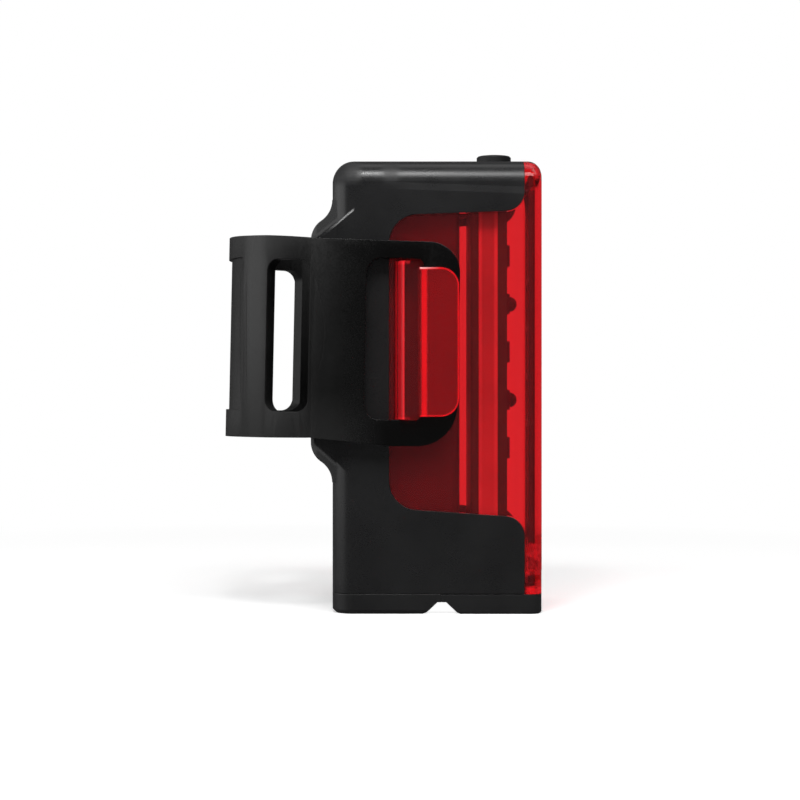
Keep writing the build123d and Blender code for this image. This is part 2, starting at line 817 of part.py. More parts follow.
# Button: cap, flange under the top wall, and a stem behind its middle down to the plunger
button_top = body_height + button_rise
button_plane = Plane(origin=(button_x, 0, 0), z_dir=(0, -1, 0), x_dir=(1, 0, 0))
with BuildPart() as power_button:
    with BuildSketch(button_plane):
        with BuildLine():
            Polyline(
                (0, button_top),
                (button_radius - button_edge, button_top),
                (button_radius, button_top - button_edge),
                (button_radius, flange_top),
                (flange_radius, flange_top),
                (flange_radius, flange_low),
                (0, flange_low),
                close=True,
            )
        make_face()
    revolve(axis=Axis((button_x, 0, 0), (0, 0, 1)))
    with BuildSketch(Plane.XY.offset(plunger_top + seat)):
        with Locations((switch_x, 0)):
            Circle(stem_radius)
    extrude(amount=flange_low - plunger_top - seat)
power_button.part.label = "power_button"
export_step(power_button.part, "parts/power_button.step")

# Button seal: a rubber ring round the flange
with BuildPart() as button_seal:
    with BuildSketch(Plane.XY.offset(flange_top - button_seal_height)):
        with Locations((button_x, 0)):
            Circle(seal_ring_radius)
            Circle(flange_radius + fit, mode=Mode.SUBTRACT)
    extrude(amount=button_seal_height)
button_seal.part.label = "button_seal"
export_step(button_seal.part, "parts/button_seal.step")

# Charging socket: a folded metal shell that opens downward, and its contact tongue
socket_low = plate_top + plug_top_gap
socket_x = control_front_x + seat + socket_depth / 2
with BuildPart() as socket_shell:
    with BuildSketch(Plane.XY.offset(socket_low)):
        with Locations((socket_x, 0)):
            RectangleRounded(socket_depth, socket_width, socket_corner_radius)
    extrude(amount=socket_height)
    with BuildSketch(Plane.XY.offset(socket_low)):
        with Locations((socket_x, 0)):
            RectangleRounded(
                socket_depth - socket_wall * 2,
                socket_width - socket_wall * 2,
                socket_corner_radius - socket_wall,
            )
    extrude(amount=socket_height - socket_wall, mode=Mode.SUBTRACT)
socket_shell.part.label = "socket_shell"
export_step(socket_shell.part, "parts/socket_shell.step")

with BuildPart() as socket_tongue:
    with BuildSketch(Plane.XY.offset(socket_low + socket_wall)):
        with Locations((socket_x, 0)):
            Rectangle(tongue_thickness, tongue_width)
    extrude(amount=socket_height - socket_wall - socket_wall - seat)
socket_tongue.part.label = "socket_tongue"
export_step(socket_tongue.part, "parts/socket_tongue.step")

# Strap band: a U in plan with tapered ends, trimmed to its outline in the side view
with BuildPart() as band_outline:
    with BuildSketch(Plane.XZ) as side_view:
        with BuildLine():
            Polyline(
                (-front_x - overrun, hook_middle - strap_drop_rear),
                (turn_x, hook_middle - strap_drop_middle),
                (hook_back_x, hook_middle - strap_drop_front),
                (hook_tip_x, hook_middle - strap_drop_front),
                (hook_tip_x, hook_middle + strap_rise_front),
                (hook_back_x, hook_middle + strap_rise_front),
                (turn_x, hook_middle + strap_rise_middle),
                (-front_x - overrun, hook_middle + strap_rise_rear),
                close=True,
            )
        make_face()
        fillet(side_view.vertices().group_by(Axis.X)[-1].sort_by(Axis.Y)[0], strap_tip_low_radius)
        fillet(side_view.vertices().group_by(Axis.X)[-1].sort_by(Axis.Y)[-1], strap_tip_high_radius)
    extrude(amount=body_width, both=True)


def strap_slot(angle):
    """The space of one slot of the strap, radial to its turn."""
    turn = radians(angle)
    slot_plane = Plane(
        origin=(turn_x, 0, slot_middle),
        x_dir=(cos(turn), -sin(turn), 0),
        z_dir=(-sin(turn), -cos(turn), 0),
    )
    with BuildPart(mode=Mode.PRIVATE) as slot:
        with BuildSketch(slot_plane):
            RectangleRounded(slot_width, slot_height, slot_corner_radius)
        extrude(amount=turn_outer_radius + overrun)
    return slot.part


panel_turn = radians(panel_angle)
with BuildPart() as panel_recess:
    panel_plane = Plane(
        origin=(turn_x, 0, panel_middle),
        x_dir=(cos(panel_turn), -sin(panel_turn), 0),
        z_dir=(-sin(panel_turn), -cos(panel_turn), 0),
    )
    with BuildSketch(panel_plane):
        RectangleRounded(panel_width, panel_height, panel_corner_radius)
    extrude(amount=turn_outer_radius + overrun)
    with BuildSketch(Plane.XY.offset(panel_middle - panel_height / 2 - overrun)):
        with Locations((turn_x, 0)):
            Circle(turn_outer_radius - panel_depth)
    extrude(amount=panel_height + overrun + overrun, mode=Mode.SUBTRACT)

with BuildPart() as band:
    with BuildSketch():
        with Locations((turn_x, 0)):
            Circle(turn_outer_radius)
        with BuildLine():
            Polyline(
                (turn_x, turn_outer_radius),
                (hook_back_x, turn_outer_radius),
                (bar_x, strap_end_half),
                (hook_tip_x, strap_end_half),
                (hook_tip_x, -strap_end_half),
                (bar_x, -strap_end_half),
                (hook_back_x, -turn_outer_radius),
                (turn_x, -turn_outer_radius),
                close=True,
            )
        make_face()
        with Locations((turn_x, 0)):
            Circle(turn_inner_radius, mode=Mode.SUBTRACT)
        with Locations(((turn_x + hook_tip_x + overrun) / 2, 0)):
            Rectangle(hook_tip_x + overrun - turn_x, turn_inner_radius * 2, mode=Mode.SUBTRACT)
    extrude(amount=body_height)
    add(band_outline.part, mode=Mode.INTERSECT)
    add(strap_slot(near_slot_angle), mode=Mode.SUBTRACT)
    add(strap_slot(far_slot_angle), mode=Mode.SUBTRACT)
    add(panel_recess.part, mode=Mode.SUBTRACT)
    with BuildSketch(Plane.XZ):
        with Locations((bar_x - hook_window_width / 2, hook_root_middle)):
            RectangleRounded(hook_window_width, hook_root_height + hook_window_gap * 2, slot_corner_radius)
    extrude(amount=turn_outer_radius + overrun, both=True, mode=Mode.SUBTRACT)

near = (-turn_outer_radius - overrun, 0)
tall = (0, body_height)
tilted_band = band.part.rotate(Axis((hook_tip_x, 0, hook_middle), (0, 1, 0)), strap_tilt)
with BuildPart() as strap:
    add(tilted_band)
    add(block((turn_x, hook_tip_x + overrun), near, tall), mode=Mode.SUBTRACT)
strap.part.label = "strap"
export_step(strap.part, "parts/strap.step")

with BuildPart() as strap_arm:
    add(tilted_band)
    add(block((turn_x + strap_joint_gap, end_x), near, tall), mode=Mode.INTERSECT)
strap_arm.part.label = "strap_arm"
export_step(strap_arm.part, "parts/strap_arm.step")

with BuildPart() as strap_end:
    add(tilted_band)
    add(block((end_x, hook_tip_x + overrun), near, tall), mode=Mode.INTERSECT)
strap_end.part.label = "strap_end"
export_step(strap_end.part, "parts/strap_end.step")
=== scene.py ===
from math import atan2, cos, degrees, hypot, radians, sin, sqrt

import bpy
from mathutils import Matrix, Vector


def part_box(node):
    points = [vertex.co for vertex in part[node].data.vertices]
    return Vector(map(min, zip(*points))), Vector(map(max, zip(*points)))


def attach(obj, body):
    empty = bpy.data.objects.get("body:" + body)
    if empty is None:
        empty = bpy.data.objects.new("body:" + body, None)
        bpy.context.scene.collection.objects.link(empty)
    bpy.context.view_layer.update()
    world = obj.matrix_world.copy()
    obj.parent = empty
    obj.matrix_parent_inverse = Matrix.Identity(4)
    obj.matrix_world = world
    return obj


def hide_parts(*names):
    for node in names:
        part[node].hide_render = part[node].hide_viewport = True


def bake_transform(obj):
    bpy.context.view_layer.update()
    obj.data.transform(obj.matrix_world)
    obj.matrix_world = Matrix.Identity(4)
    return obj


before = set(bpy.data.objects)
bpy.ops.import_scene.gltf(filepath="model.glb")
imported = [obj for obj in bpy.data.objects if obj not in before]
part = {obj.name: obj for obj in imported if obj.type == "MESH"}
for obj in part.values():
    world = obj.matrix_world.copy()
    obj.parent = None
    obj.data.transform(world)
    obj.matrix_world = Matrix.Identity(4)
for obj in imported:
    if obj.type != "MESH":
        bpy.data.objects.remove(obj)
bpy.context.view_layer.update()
MM = 0.001
WHITE = (1, 1, 1)

# The camera: square on to the near side of the light, from a little below its middle
EYE_PLACE = (3.135 * MM, -292 * MM, 34.27 * MM)
EYE_LENS = 78.75

eye = bpy.data.cameras.new("side_view")
eye.lens = EYE_LENS
eye.sensor_width = 36
eye.clip_start = 0.005
eye.clip_end = 10
eye_stand = bpy.data.objects.new("side_view", eye)
bpy.context.collection.objects.link(eye_stand)
eye_stand.location = EYE_PLACE
eye_stand.rotation_euler = (radians(90), 0, 0)
bpy.context.scene.camera = eye_stand


# How finishes are written: sums on readings, and one call for any other step
class Reading:
    """What a step gives. A sum on a number that changes over a surface adds the steps for it."""

    def __init__(self, finish, socket):
        self.finish, self.socket = finish, socket

    def __add__(self, other):
        return self.finish.sum_of("ADD", self, other)

    def __sub__(self, other):
        return self.finish.sum_of("SUBTRACT", self, other)

    def __rsub__(self, other):
        return self.finish.sum_of("SUBTRACT", other, self)

    def __mul__(self, other):
        return self.finish.sum_of("MULTIPLY", self, other)

    def __pow__(self, other):
        return self.finish.sum_of("POWER", self, other)

    __radd__ = __add__
    __rmul__ = __mul__


def opaque(tint):
    """A colour as its socket takes it. It is three numbers or comes from a step."""
    return tint if isinstance(tint, Reading) else (*tint, 1)


class Finish:
    """The steps of one material, or of the room's light."""

    def __init__(self, owner):
        owner.use_nodes = True
        self.owner, self.tree = owner, owner.node_tree
        self.tree.nodes.clear()
        self.place = self.step("ShaderNodeTexCoord", out="Object")

    def step(self, kind, settings=None, sockets=None, out=0):
        """Adds a step of a kind: its settings first, then the values or links of its sockets."""
        node = self.tree.nodes.new(kind)
        for setting, value in (settings or {}).items():
            setattr(node, setting, value)
        for socket, value in (sockets or {}).items():
            if isinstance(value, Reading):
                self.tree.links.new(value.socket, node.inputs[socket])
            else:
                node.inputs[socket].default_value = value
        return Reading(self, node.outputs[out]) if node.outputs else None

    def sum_of(self, operation, first, second=0.0):
        return self.step("ShaderNodeMath", {"operation": operation}, {0: first, 1: second})

    def larger(self, first, second):
        return self.sum_of("MAXIMUM", first, second)

    def size_of(self, reading):
        return self.sum_of("ABSOLUTE", reading)

    def along(self, axis):
        """How far along X, Y or Z a point is, in metres."""
        return self.step("ShaderNodeSeparateXYZ", sockets={0: self.place}, out=axis)

    def cloud(self, size, detail=2.0):
        """Soft patches about so many metres across. Most of their values lie about a half."""
        return self.step(
            "ShaderNodeTexNoise",
            sockets={"Vector": self.place, "Scale": 1 / size, "Detail": detail, "Roughness": 0.5},
        )

    def from_to(self, reading, start, end, low=0.0, high=1.0):
        """Low up to where a reading passes its start, high from its end on, and even between them."""
        sockets = {0: reading, 1: start, 2: end, 3: low, 4: high}
        return self.step("ShaderNodeMapRange", {"clamp": True}, sockets)

    def spread(self, cloud, low=0.0, high=1.0, half=0.15):
        """The values of a cloud within so much of its middle, spread over a range."""
        return self.from_to(cloud, 0.5 - half, 0.5 + half, low, high)

    def near(self, reading, level, width):
        """One at a level, none beyond a width from it."""
        return self.from_to(self.size_of(reading - level), width * 0.4, width, 1.0, 0.0)

    def mix(self, share, first, second):
        """Two colours mixed by a reading."""
        sockets = {0: share, 6: opaque(first), 7: opaque(second)}
        return self.step("ShaderNodeMix", {"data_type": "RGBA"}, sockets, out=2)

    def edges(self, radius):
        """The surface's direction with its sharp edges eased by a small radius."""
        return self.step("ShaderNodeBevel", {"samples": 4}, {"Radius": radius})

    def relief(self, height, depth, strength, onto=None):
        """Relief so many metres deep, on the surface's own direction or on one worked out for it."""
        sockets = {"Height": height, "Distance": depth, "Strength": strength}
        if onto:
            sockets["Normal"] = onto
        return self.step("ShaderNodeBump", sockets=sockets)

    def surface(self, tone, dull, **sockets):
        """The surface itself. In the names of its other sockets, an underline stands for a space."""
        named = {name.replace("_", " "): value for name, value in sockets.items()}
        named.update({"Base Color": tone, "Roughness": dull})
        return self.step("ShaderNodeBsdfPrincipled", sockets=named)

    def glow(self, tone, strength=1.0):
        return self.step("ShaderNodeEmission", sockets={"Color": opaque(tone), "Strength": strength})

    def ray(self, kind):
        return self.step("ShaderNodeLightPath", out=f"Is {kind} Ray")

    def either(self, share, first, second):
        """Two surfaces mixed by a reading."""
        return self.step("ShaderNodeMixShader", sockets={0: share, 1: first, 2: second})

    def cover(self, surface, end="ShaderNodeOutputMaterial"):
        self.step(end, sockets={"Surface": surface})
        return self.owner


def material(name):
    return Finish(bpy.data.materials.new(name))


# Sizes that several finishes share
EDGE_EASE = 0.12 * MM
SEAM_UP = 3.2 * MM
SEAM_WIDTH = 0.14 * MM


def moulded(
    name,
    dark,
    light,
    rough,
    grain=0.16 * MM,
    depth=0.006 * MM,
    patch=9 * MM,
    shine=0.5,
    seam=None,
    form=None,
    shade=None,
):
    """A moulded plastic or rubber: close tones in soft patches and a fine grain from its mould. It may have
    a seam line at a height, a form that turns its surface, and a painted shade over its tone."""
    skin = material(name)
    tone = skin.mix(skin.spread(skin.cloud(patch, 3)), dark, light)
    if shade:
        tone = shade(skin, tone)
    raised = fine = skin.cloud(grain, 1)
    dull = skin.spread(fine * 0.6 + skin.cloud(patch * 0.6) * 0.4, *rough)
    if seam:
        line = skin.near(skin.along("Z"), seam, SEAM_WIDTH)
        tone = skin.mix(line * 0.8, tone, (0.001, 0.001, 0.001))
        raised = fine - line * 6
    facing = skin.edges(EDGE_EASE)
    if form:
        form_relief, facing, duller = form(skin, facing)
        raised, dull = raised + form_relief, dull + duller
    raised = skin.relief(raised, depth, 0.6, facing)
    return skin.cover(skin.surface(tone, dull, Specular_IOR_Level=shine, Normal=raised))


# The housing's forms, seen from its sides. A pair is a band over which a change takes place.
SHOULDER_UP = (69.05 * MM, 67.95 * MM)
SHOULDER_FRONT = (0, 5 * MM)
SHOULDER_TILT = 0.037
SHOULDER_STEP = 31
# A crease passes here at a height, and faces this far up and this far back
CREASE_ALONG = -4.7 * MM
CREASE_ABOVE = (64.2 * MM, 0.785, 0.619)
CREASE_BELOW = (22.6 * MM, -0.751, 0.661)
FLANK_START = (0.1 * MM, 1.1 * MM)
FLANK_TURN = -1.1
CREASE_LIGHT = (-10 * MM, -6 * MM)
CREASE_LIFT = 0.42
FLAT_SIDE = (0.5 * MM, 0.2 * MM)
SADDLE_REAR = (-6.9 * MM, -7.2 * MM)
SADDLE_ALONG = (-4.0 * MM, -4.4 * MM)
SADDLE_OUT = (10.3 * MM, 10.5 * MM)
TOP_EDGE = (68.5 * MM, 69.5 * MM)
TOP_EDGE_SPOT = 1.6 * MM
TOP_EDGE_REAR = (-2.8 * MM, -4.2 * MM)


def shoulders(skin, facing):
    """The housing's soft forms: a faint shoulder under the top edge, sides that run on flat into the saddle,
    and creases above and below the strap, beyond which the saddle's flanks turn away. It gives the
    shoulder's relief, the surface's direction, and how much duller the top edge is, about one spot and at
    its rear."""
    x, y, z = (skin.along(axis) for axis in "XYZ")
    under_shoulder = skin.from_to(z + (x - 5.5 * MM) * SHOULDER_TILT, *SHOULDER_UP)
    shoulder = under_shoulder * skin.from_to(x, *SHOULDER_FRONT) * SHOULDER_STEP
    above, below = (
        (z - crease_up) * to_up - (x - CREASE_ALONG) * to_rear
        for crease_up, to_up, to_rear in (CREASE_ABOVE, CREASE_BELOW)
    )
    beyond = skin.larger(above, below)
    turn = skin.from_to(beyond, *FLANK_START, 0, FLANK_TURN)
    to_side = skin.from_to(y, -1 * MM, 1 * MM, -1, 1)
    lift = skin.near(above, 0.2 * MM, 0.3 * MM) * skin.from_to(x, *CREASE_LIGHT) * CREASE_LIFT
    outward = skin.step("ShaderNodeCombineXYZ", sockets={0: turn, 1: to_side, 2: lift})
    into_room = {"vector_type": "NORMAL", "convert_from": "OBJECT", "convert_to": "WORLD"}
    outward = skin.step("ShaderNodeVectorTransform", into_room, {0: outward})
    share = skin.larger(skin.from_to(beyond, *FLAT_SIDE), skin.from_to(x, *SADDLE_REAR))
    share = share * skin.from_to(x, *SADDLE_ALONG) * skin.from_to(skin.size_of(y), *SADDLE_OUT)
    sockets = {0: share, 4: facing, 5: outward}
    facing = skin.step("ShaderNodeMix", {"data_type": "VECTOR"}, sockets, out=1)
    duller = skin.near(x, TOP_EDGE_SPOT, 1.6 * MM) * 0.16 + skin.from_to(x, *TOP_EDGE_REAR) * 0.3
    return shoulder, facing, duller * skin.from_to(z, *TOP_EDGE)


# The milky spacer between the boards: its middle, the edges of its painted shade, and where that darkens
SPACER_ALONG = 17.35 * MM
SPACER_SHADE = (1.15 * MM, 0.85 * MM)
SPACER_UP = (26 * MM, 51 * MM)


def painted_shade_middle(skin, tone):
    """Painted shade on the milky spacer: its tone is darker between its two edges, and more so towards its
    top.
    """
    inside = skin.from_to(skin.size_of(skin.along("X") - SPACER_ALONG), *SPACER_SHADE)
    inside = inside * skin.from_to(skin.along("Z"), *SPACER_UP, 0.26, 0.56)
    return skin.mix(inside, tone, (0.1, 0.07, 0.07))


# Where the lens changes, and where light is painted on it. A pair is a band over which a change takes place,
# or the centre of the tab's round corner. A hook's painted line of light has its place and width in
# millimetres, and its strength, which is negative where a thin line is kept dark.
FRONT_WALL = (24.4 * MM, 24.8 * MM)
TOP_BEND = (71.2 * MM, 71.9 * MM)
HOOK_OUT = (12.3 * MM, 12.8 * MM)
HOOK_UP = 43.45 * MM
PAINTED_HOOK_LINES = ((2.95, 0.9, 0.55), (6.98, 0.62, 0.5), (2.75, 0.12, -0.4), (3.7, 0.24, 0.6))
TAB = (6.2 * MM, 6.3 * MM)
TAB_FACE = (7.4 * MM, 7.6 * MM)
TAB_ABOVE = (55.6 * MM, 56.0 * MM)
TAB_BELOW = (31.7 * MM, 31.4 * MM)
TAB_TOP_HIGHLIGHT = (54.95 * MM, 55.05 * MM)
TAB_CORNER = (9.57 * MM, 8.9 * MM)
TAB_RIM_LIGHT = (2.6 * MM, 2.8 * MM)
CLIPS_UP = (11.3 * MM, 11.1 * MM)
CLIPS_ALONG = (23.2 * MM, 23.4 * MM)
CLIPS_OUT = (9 * MM, 10 * MM)
CLIP_GAP = (0.8 * MM, 1.0 * MM)


def lens_plastic(name, colour, glow):
    """The lens: clear red plastic that tints what is seen through it. Light is painted on as a bright red
    surface along the root and rim of its hooks and in the clips at its foot, with a painted highlight
    along the tab's top."""
    skin = material(name)
    x, y, z = (skin.along(axis) for axis in "XYZ")
    flow = skin.cloud(14 * MM, 1)
    deep = skin.larger(skin.from_to(x, *FRONT_WALL), skin.from_to(z, *TOP_BEND))
    tone = skin.mix(flow, [tint * 0.95 for tint in colour], colour)
    clear = skin.surface(
        skin.mix(deep, tone, [tint**2 * 0.85 for tint in colour]),
        skin.spread(flow, 0.02, 0.05, 0.2),
        Normal=skin.relief(flow, 0.01 * MM, 0.3, skin.edges(0.3 * MM)),
        IOR=1.06,
        Transmission_Weight=0.98,
        Coat_Weight=0.6,
        Coat_Roughness=0.03,
    )
    to_side = skin.size_of(y)
    # Painted light: bright lines along the hooks, and a brighter tab face, rim and top edge
    lines = sum(skin.near(x, at * MM, width * MM) * strength for at, width, strength in PAINTED_HOOK_LINES)
    on_tab = skin.from_to(x, *TAB)
    past_side = skin.larger(x - TAB_CORNER[0], 0.0)
    past_end = skin.larger(skin.size_of(z - HOOK_UP) - TAB_CORNER[1], 0.0)
    rim = skin.from_to((past_side**2 + past_end**2) ** 0.5, *TAB_RIM_LIGHT) * on_tab
    top = skin.from_to(z, *TAB_TOP_HIGHLIGHT) * on_tab
    beyond_tab = skin.from_to(z, *TAB_ABOVE) + skin.from_to(z, *TAB_BELOW)
    tab = skin.from_to(x, *TAB_FACE) * 0.07 + beyond_tab * 0.3 + rim * 0.4
    tab = tab + top * skin.from_to(x, 10.5 * MM, 6 * MM) * 0.6
    # The colour of the painted light, pinkish white along the tab's top as a painted highlight
    painted_light_tone = skin.mix(flow, [tint * 0.95 for tint in glow], glow)
    painted_light_tone = skin.mix(top * skin.from_to(x, 9.5 * MM, 5.5 * MM), painted_light_tone, (0.9, 0.6, 0.6))
    painted_light_surface = skin.surface(painted_light_tone, 0.3, Specular_IOR_Level=0.1)
    # Painted light in the clips at the lens's foot
    clips = skin.spread(skin.cloud(1.5 * MM, 1), 0.04, 0.34, 0.08) * skin.from_to(z, *CLIPS_UP)
    clips = clips * skin.from_to(skin.size_of(z - 5.3 * MM), *CLIP_GAP)
    clips = (clips + skin.near(z, 3.7 * MM, 0.75 * MM) * 0.28) * skin.from_to(x, *CLIPS_ALONG)
    clips = clips * skin.from_to(to_side, *CLIPS_OUT)
    # How much painted light each point of the lens shows
    lit = (lines + tab) * skin.from_to(to_side, *HOOK_OUT) + clips
    passed = [tint**0.5 for tint in colour]
    shade = skin.step("ShaderNodeBsdfTransparent", sockets={"Color": opaque(passed)})
    return skin.cover(skin.either(skin.ray("Shadow"), skin.either(lit, clear, painted_light_surface), shade))


# The strap's rubber: where it is paler towards its bottom, the band of painted sheen round its turn,
# where it is deeper, and the lines of its sunk panel and of the pad between the slots, with a line's
# place and width
PALER_BELOW = (36 * MM, 27 * MM)
PAINTED_SHEEN_BAND = (-20.1 * MM, 2.1 * MM)
DEEP_AHEAD = (-8 * MM, 1 * MM)
PANEL_LINES = ((-21.85 * MM, 0.3 * MM), (-22.9 * MM, 0.16 * MM))
PANEL_UP = (44.6 * MM, 11.6 * MM)
PAD_MIDDLE = (-32.6 * MM, 45.5 * MM)
PAD_RADIUS = 23.7 * MM
PAD_UP = (45.9 * MM, 9.6 * MM)


def strap_rubber(name):
    """The strap's black rubber: paler towards its bottom, with a painted sheen round the turn, and deep
    black towards its end bars, with the lines of its sunk panel and of the pad between the slots."""
    skin = material(name)
    x, z = skin.along("X"), skin.along("Z")
    patches = skin.spread(skin.cloud(6 * MM, 3))
    tone_and_painted_sheen = skin.mix(patches, (0.0035, 0.0035, 0.0035), (0.006, 0.006, 0.006))
    # Paler towards the bottom, and a band of painted sheen round the turn
    paler = skin.larger(skin.from_to(z, *PALER_BELOW, 0, 0.5), skin.near(x, *PAINTED_SHEEN_BAND) * 0.6)
    tone_and_painted_sheen = skin.mix(paler, tone_and_painted_sheen, (0.024, 0.024, 0.024))
    tone = skin.mix(skin.from_to(x, *DEEP_AHEAD), tone_and_painted_sheen, (0.0006, 0.0006, 0.0006))
    fine = skin.cloud(0.3 * MM, 1)
    panel = sum(skin.near(x, *line) for line in PANEL_LINES) * skin.near(z, *PANEL_UP)
    reach = ((x - PAD_MIDDLE[0]) ** 2 + (z - PAD_MIDDLE[1]) ** 2) ** 0.5
    pad = skin.near(reach, PAD_RADIUS, 0.18 * MM) * skin.near(z, *PAD_UP)
    pad = pad * skin.from_to(x, -12 * MM, -11.6 * MM)
    dull = skin.from_to(x, -14 * MM, 0, 0.44, 0.22) + skin.spread(fine, -0.04, 0.04)
    raised = skin.relief(fine - (panel * 26 + pad * 5), 0.008 * MM, 0.7, skin.edges(EDGE_EASE))
    return skin.cover(skin.surface(tone, dull, Specular_IOR_Level=0.4, Normal=raised))


def plated(name, colour):
    """Bare or plated metal with fine marks."""
    skin = material(name)
    marks = skin.cloud(0.3 * MM, 3)
    tone = skin.mix(marks, [tint * 0.85 for tint in colour], colour)
    dull = skin.spread(marks, 0.2, 0.34, 0.2)
    raised = skin.relief(marks, 0.004 * MM, 0.5)
    return skin.cover(skin.surface(tone, dull, Metallic=1.0, Normal=raised))


def floor_pale(name):
    """The floor is pale and plain. The camera sees the light's shadow on it, painted light that lifts it to
    white behind the notch, and white further off. What shines reflects it dimly."""
    skin = material(name)
    seen = skin.larger(skin.ray("Camera"), skin.ray("Transmission"))
    pale = skin.mix(skin.cloud(0.2), (0.8, 0.8, 0.8), (0.84, 0.84, 0.84))
    plain = skin.step("ShaderNodeBsdfDiffuse", sockets={"Color": pale})
    plain = skin.either(skin.ray("Glossy"), plain, skin.glow(WHITE, 0.1))
    # Painted light on the floor behind the notch, lifting it to white there
    painted_light_in_notch = skin.near(skin.along("X"), 9.8 * MM, 5 * MM) * skin.near(skin.along("Y"), 0, 18 * MM)
    lift = skin.glow(skin.mix(painted_light_in_notch, (0.4, 0.4, 0.4), WHITE))
    lit = skin.step("ShaderNodeAddShader", sockets={0: plain, 1: lift})
    away = skin.step("ShaderNodeVectorMath", {"operation": "LENGTH"}, {0: skin.place}, out="Value")
    lit = skin.either(skin.from_to(away, 0.07, 0.2), lit, skin.glow(WHITE))
    return skin.cover(skin.either(seen, plain, lit))


# The finishes: two close tones, and how rough each is from its shiniest to its dullest
SHELL_TONES = ((0.008, 0.008, 0.0085), (0.011, 0.011, 0.0115))
BUTTON_TONES = ((0.004, 0.004, 0.0045), (0.007, 0.007, 0.0075))
SOFT_TONES = ((0.012, 0.012, 0.012), (0.02, 0.02, 0.02))
MILKY_TONES = ((0.46, 0.44, 0.41), (0.54, 0.52, 0.49))
housing_black = moulded("housing_black", *SHELL_TONES, (0.26, 0.36), seam=SEAM_UP, form=shoulders)
base_black = moulded("base_black", *SHELL_TONES, (0.34, 0.45), seam=SEAM_UP)
strap_black = strap_rubber("strap_black")
button_black = moulded("button_black", *BUTTON_TONES, (0.42, 0.55), shine=0.4)
seal_black = moulded("seal_black", *SOFT_TONES, (0.55, 0.7))
cradle_black = moulded("cradle_black", *SOFT_TONES, (0.5, 0.6))
chip_black = moulded("chip_black", (0.012, 0.012, 0.013), (0.022, 0.022, 0.024), (0.45, 0.6))
board_green = moulded("board_green", (0.006, 0.05, 0.02), (0.01, 0.08, 0.03), (0.28, 0.4), patch=2 * MM)
frame_dark = moulded("frame_dark", (0.012, 0.006, 0.006), (0.02, 0.008, 0.008), (0.4, 0.5))
# The spacer's tone carries painted shade in its middle
spacer_milk = moulded("spacer_milk", *MILKY_TONES, (0.35, 0.5), shade=painted_shade_middle)
led_resin = moulded("led_resin", (0.02, 0.012, 0.01), (0.035, 0.02, 0.016), (0.15, 0.25), patch=1 * MM)
plunger_cream = moulded("plunger_cream", (0.6, 0.55, 0.42), (0.7, 0.65, 0.5), (0.4, 0.5))
cell_sleeve = moulded("cell_sleeve", (0.02, 0.07, 0.25), (0.03, 0.1, 0.32), (0.25, 0.35))
foam_grey = moulded("foam_grey", (0.06, 0.06, 0.06), (0.1, 0.1, 0.1), (0.8, 0.9), 0.5 * MM, 0.1 * MM)
lead_red = moulded("lead_red", (0.35, 0.02, 0.015), (0.45, 0.03, 0.02), (0.3, 0.4))
screw_steel = plated("screw_steel", (0.6, 0.6, 0.6))
socket_steel = plated("socket_steel", (0.7, 0.7, 0.71))
# The lens's second colour is its painted light
lens_red = lens_plastic("lens_red", (0.86, 0.112, 0.132), (0.85, 0.012, 0.02))

FINISHES = {
    "housing": housing_black,
    "saddle_pad": seal_black,
    "lens": lens_red,
    "optic_frame": frame_dark,
    "base_cap": base_black,
    "port_flap": base_black,
    "base_seal": seal_black,
    "base_screws": screw_steel,
    "battery_cradle": cradle_black,
    "battery_cell": cell_sleeve,
    "foam_pad": foam_grey,
    "battery_leads": lead_red,
    "control_board": board_green,
    "control_chips": chip_black,
    "board_spacer": spacer_milk,
    "led_board": board_green,
    "flat_leds": led_resin,
    "domed_leds": led_resin,
    "switch_body": chip_black,
    "switch_plunger": plunger_cream,
    "power_button": button_black,
    "button_seal": seal_black,
    "socket_shell": socket_steel,
    "socket_tongue": chip_black,
    "strap": strap_black,
    "strap_arm": strap_black,
    "strap_end": strap_black,
}


def dress(piece, finish):
    piece.data.materials.clear()
    piece.data.materials.append(finish)


for node, finish in FINISHES.items():
    dress(part[node], finish)


# How pieces are shaped
def take_up(piece):
    """Makes a piece the one in hand, alone."""
    bpy.ops.object.select_all(action="DESELECT")
    piece.select_set(True)
    bpy.context.view_layer.objects.active = piece


def copied(name, *nodes):
    """One mesh made of copies of these solids."""
    bpy.ops.object.select_all(action="DESELECT")
    for node in nodes:
        twin = bpy.data.objects.new(name, part[node].data.copy())
        bpy.context.collection.objects.link(twin)
        twin.select_set(True)
        bpy.context.view_layer.objects.active = twin
    if len(nodes) > 1:
        bpy.ops.object.join()
    made = bpy.context.view_layer.objects.active
    made.name = name
    return made


def select_where(piece, kind, test):
    """Selects, in edit mode, the faces or the edges of a piece that pass a test."""
    bpy.ops.mesh.select_mode(type=kind)
    bpy.ops.mesh.select_all(action="DESELECT")
    bpy.ops.object.mode_set(mode="OBJECT")
    for member in piece.data.polygons if kind == "FACE" else piece.data.edges:
        member.select = test(member)
    bpy.ops.object.mode_set(mode="EDIT")


def merge(threshold):
    """Merges the points of the piece in hand that are closer than this."""
    bpy.ops.mesh.select_all(action="SELECT")
    bpy.ops.mesh.remove_doubles(threshold=threshold)


def cut_across(places):
    """Cuts the faces of the piece in hand at places along X, so that they bend or are shaded evenly."""
    for place in places:
        bpy.ops.mesh.select_all(action="SELECT")
        bpy.ops.mesh.bisect(plane_co=(place, 0, 0), plane_no=(1, 0, 0))


def ease_edges(piece, width, segments, sharper):
    """Rounds the edges of a piece that turn by more than so many degrees."""
    ease = piece.modifiers.new("eased edges", "BEVEL")
    ease.width, ease.segments = width, segments
    ease.limit_method, ease.angle_limit = "ANGLE", radians(sharper)
    take_up(piece)
    bpy.ops.object.modifier_apply(modifier=ease.name)


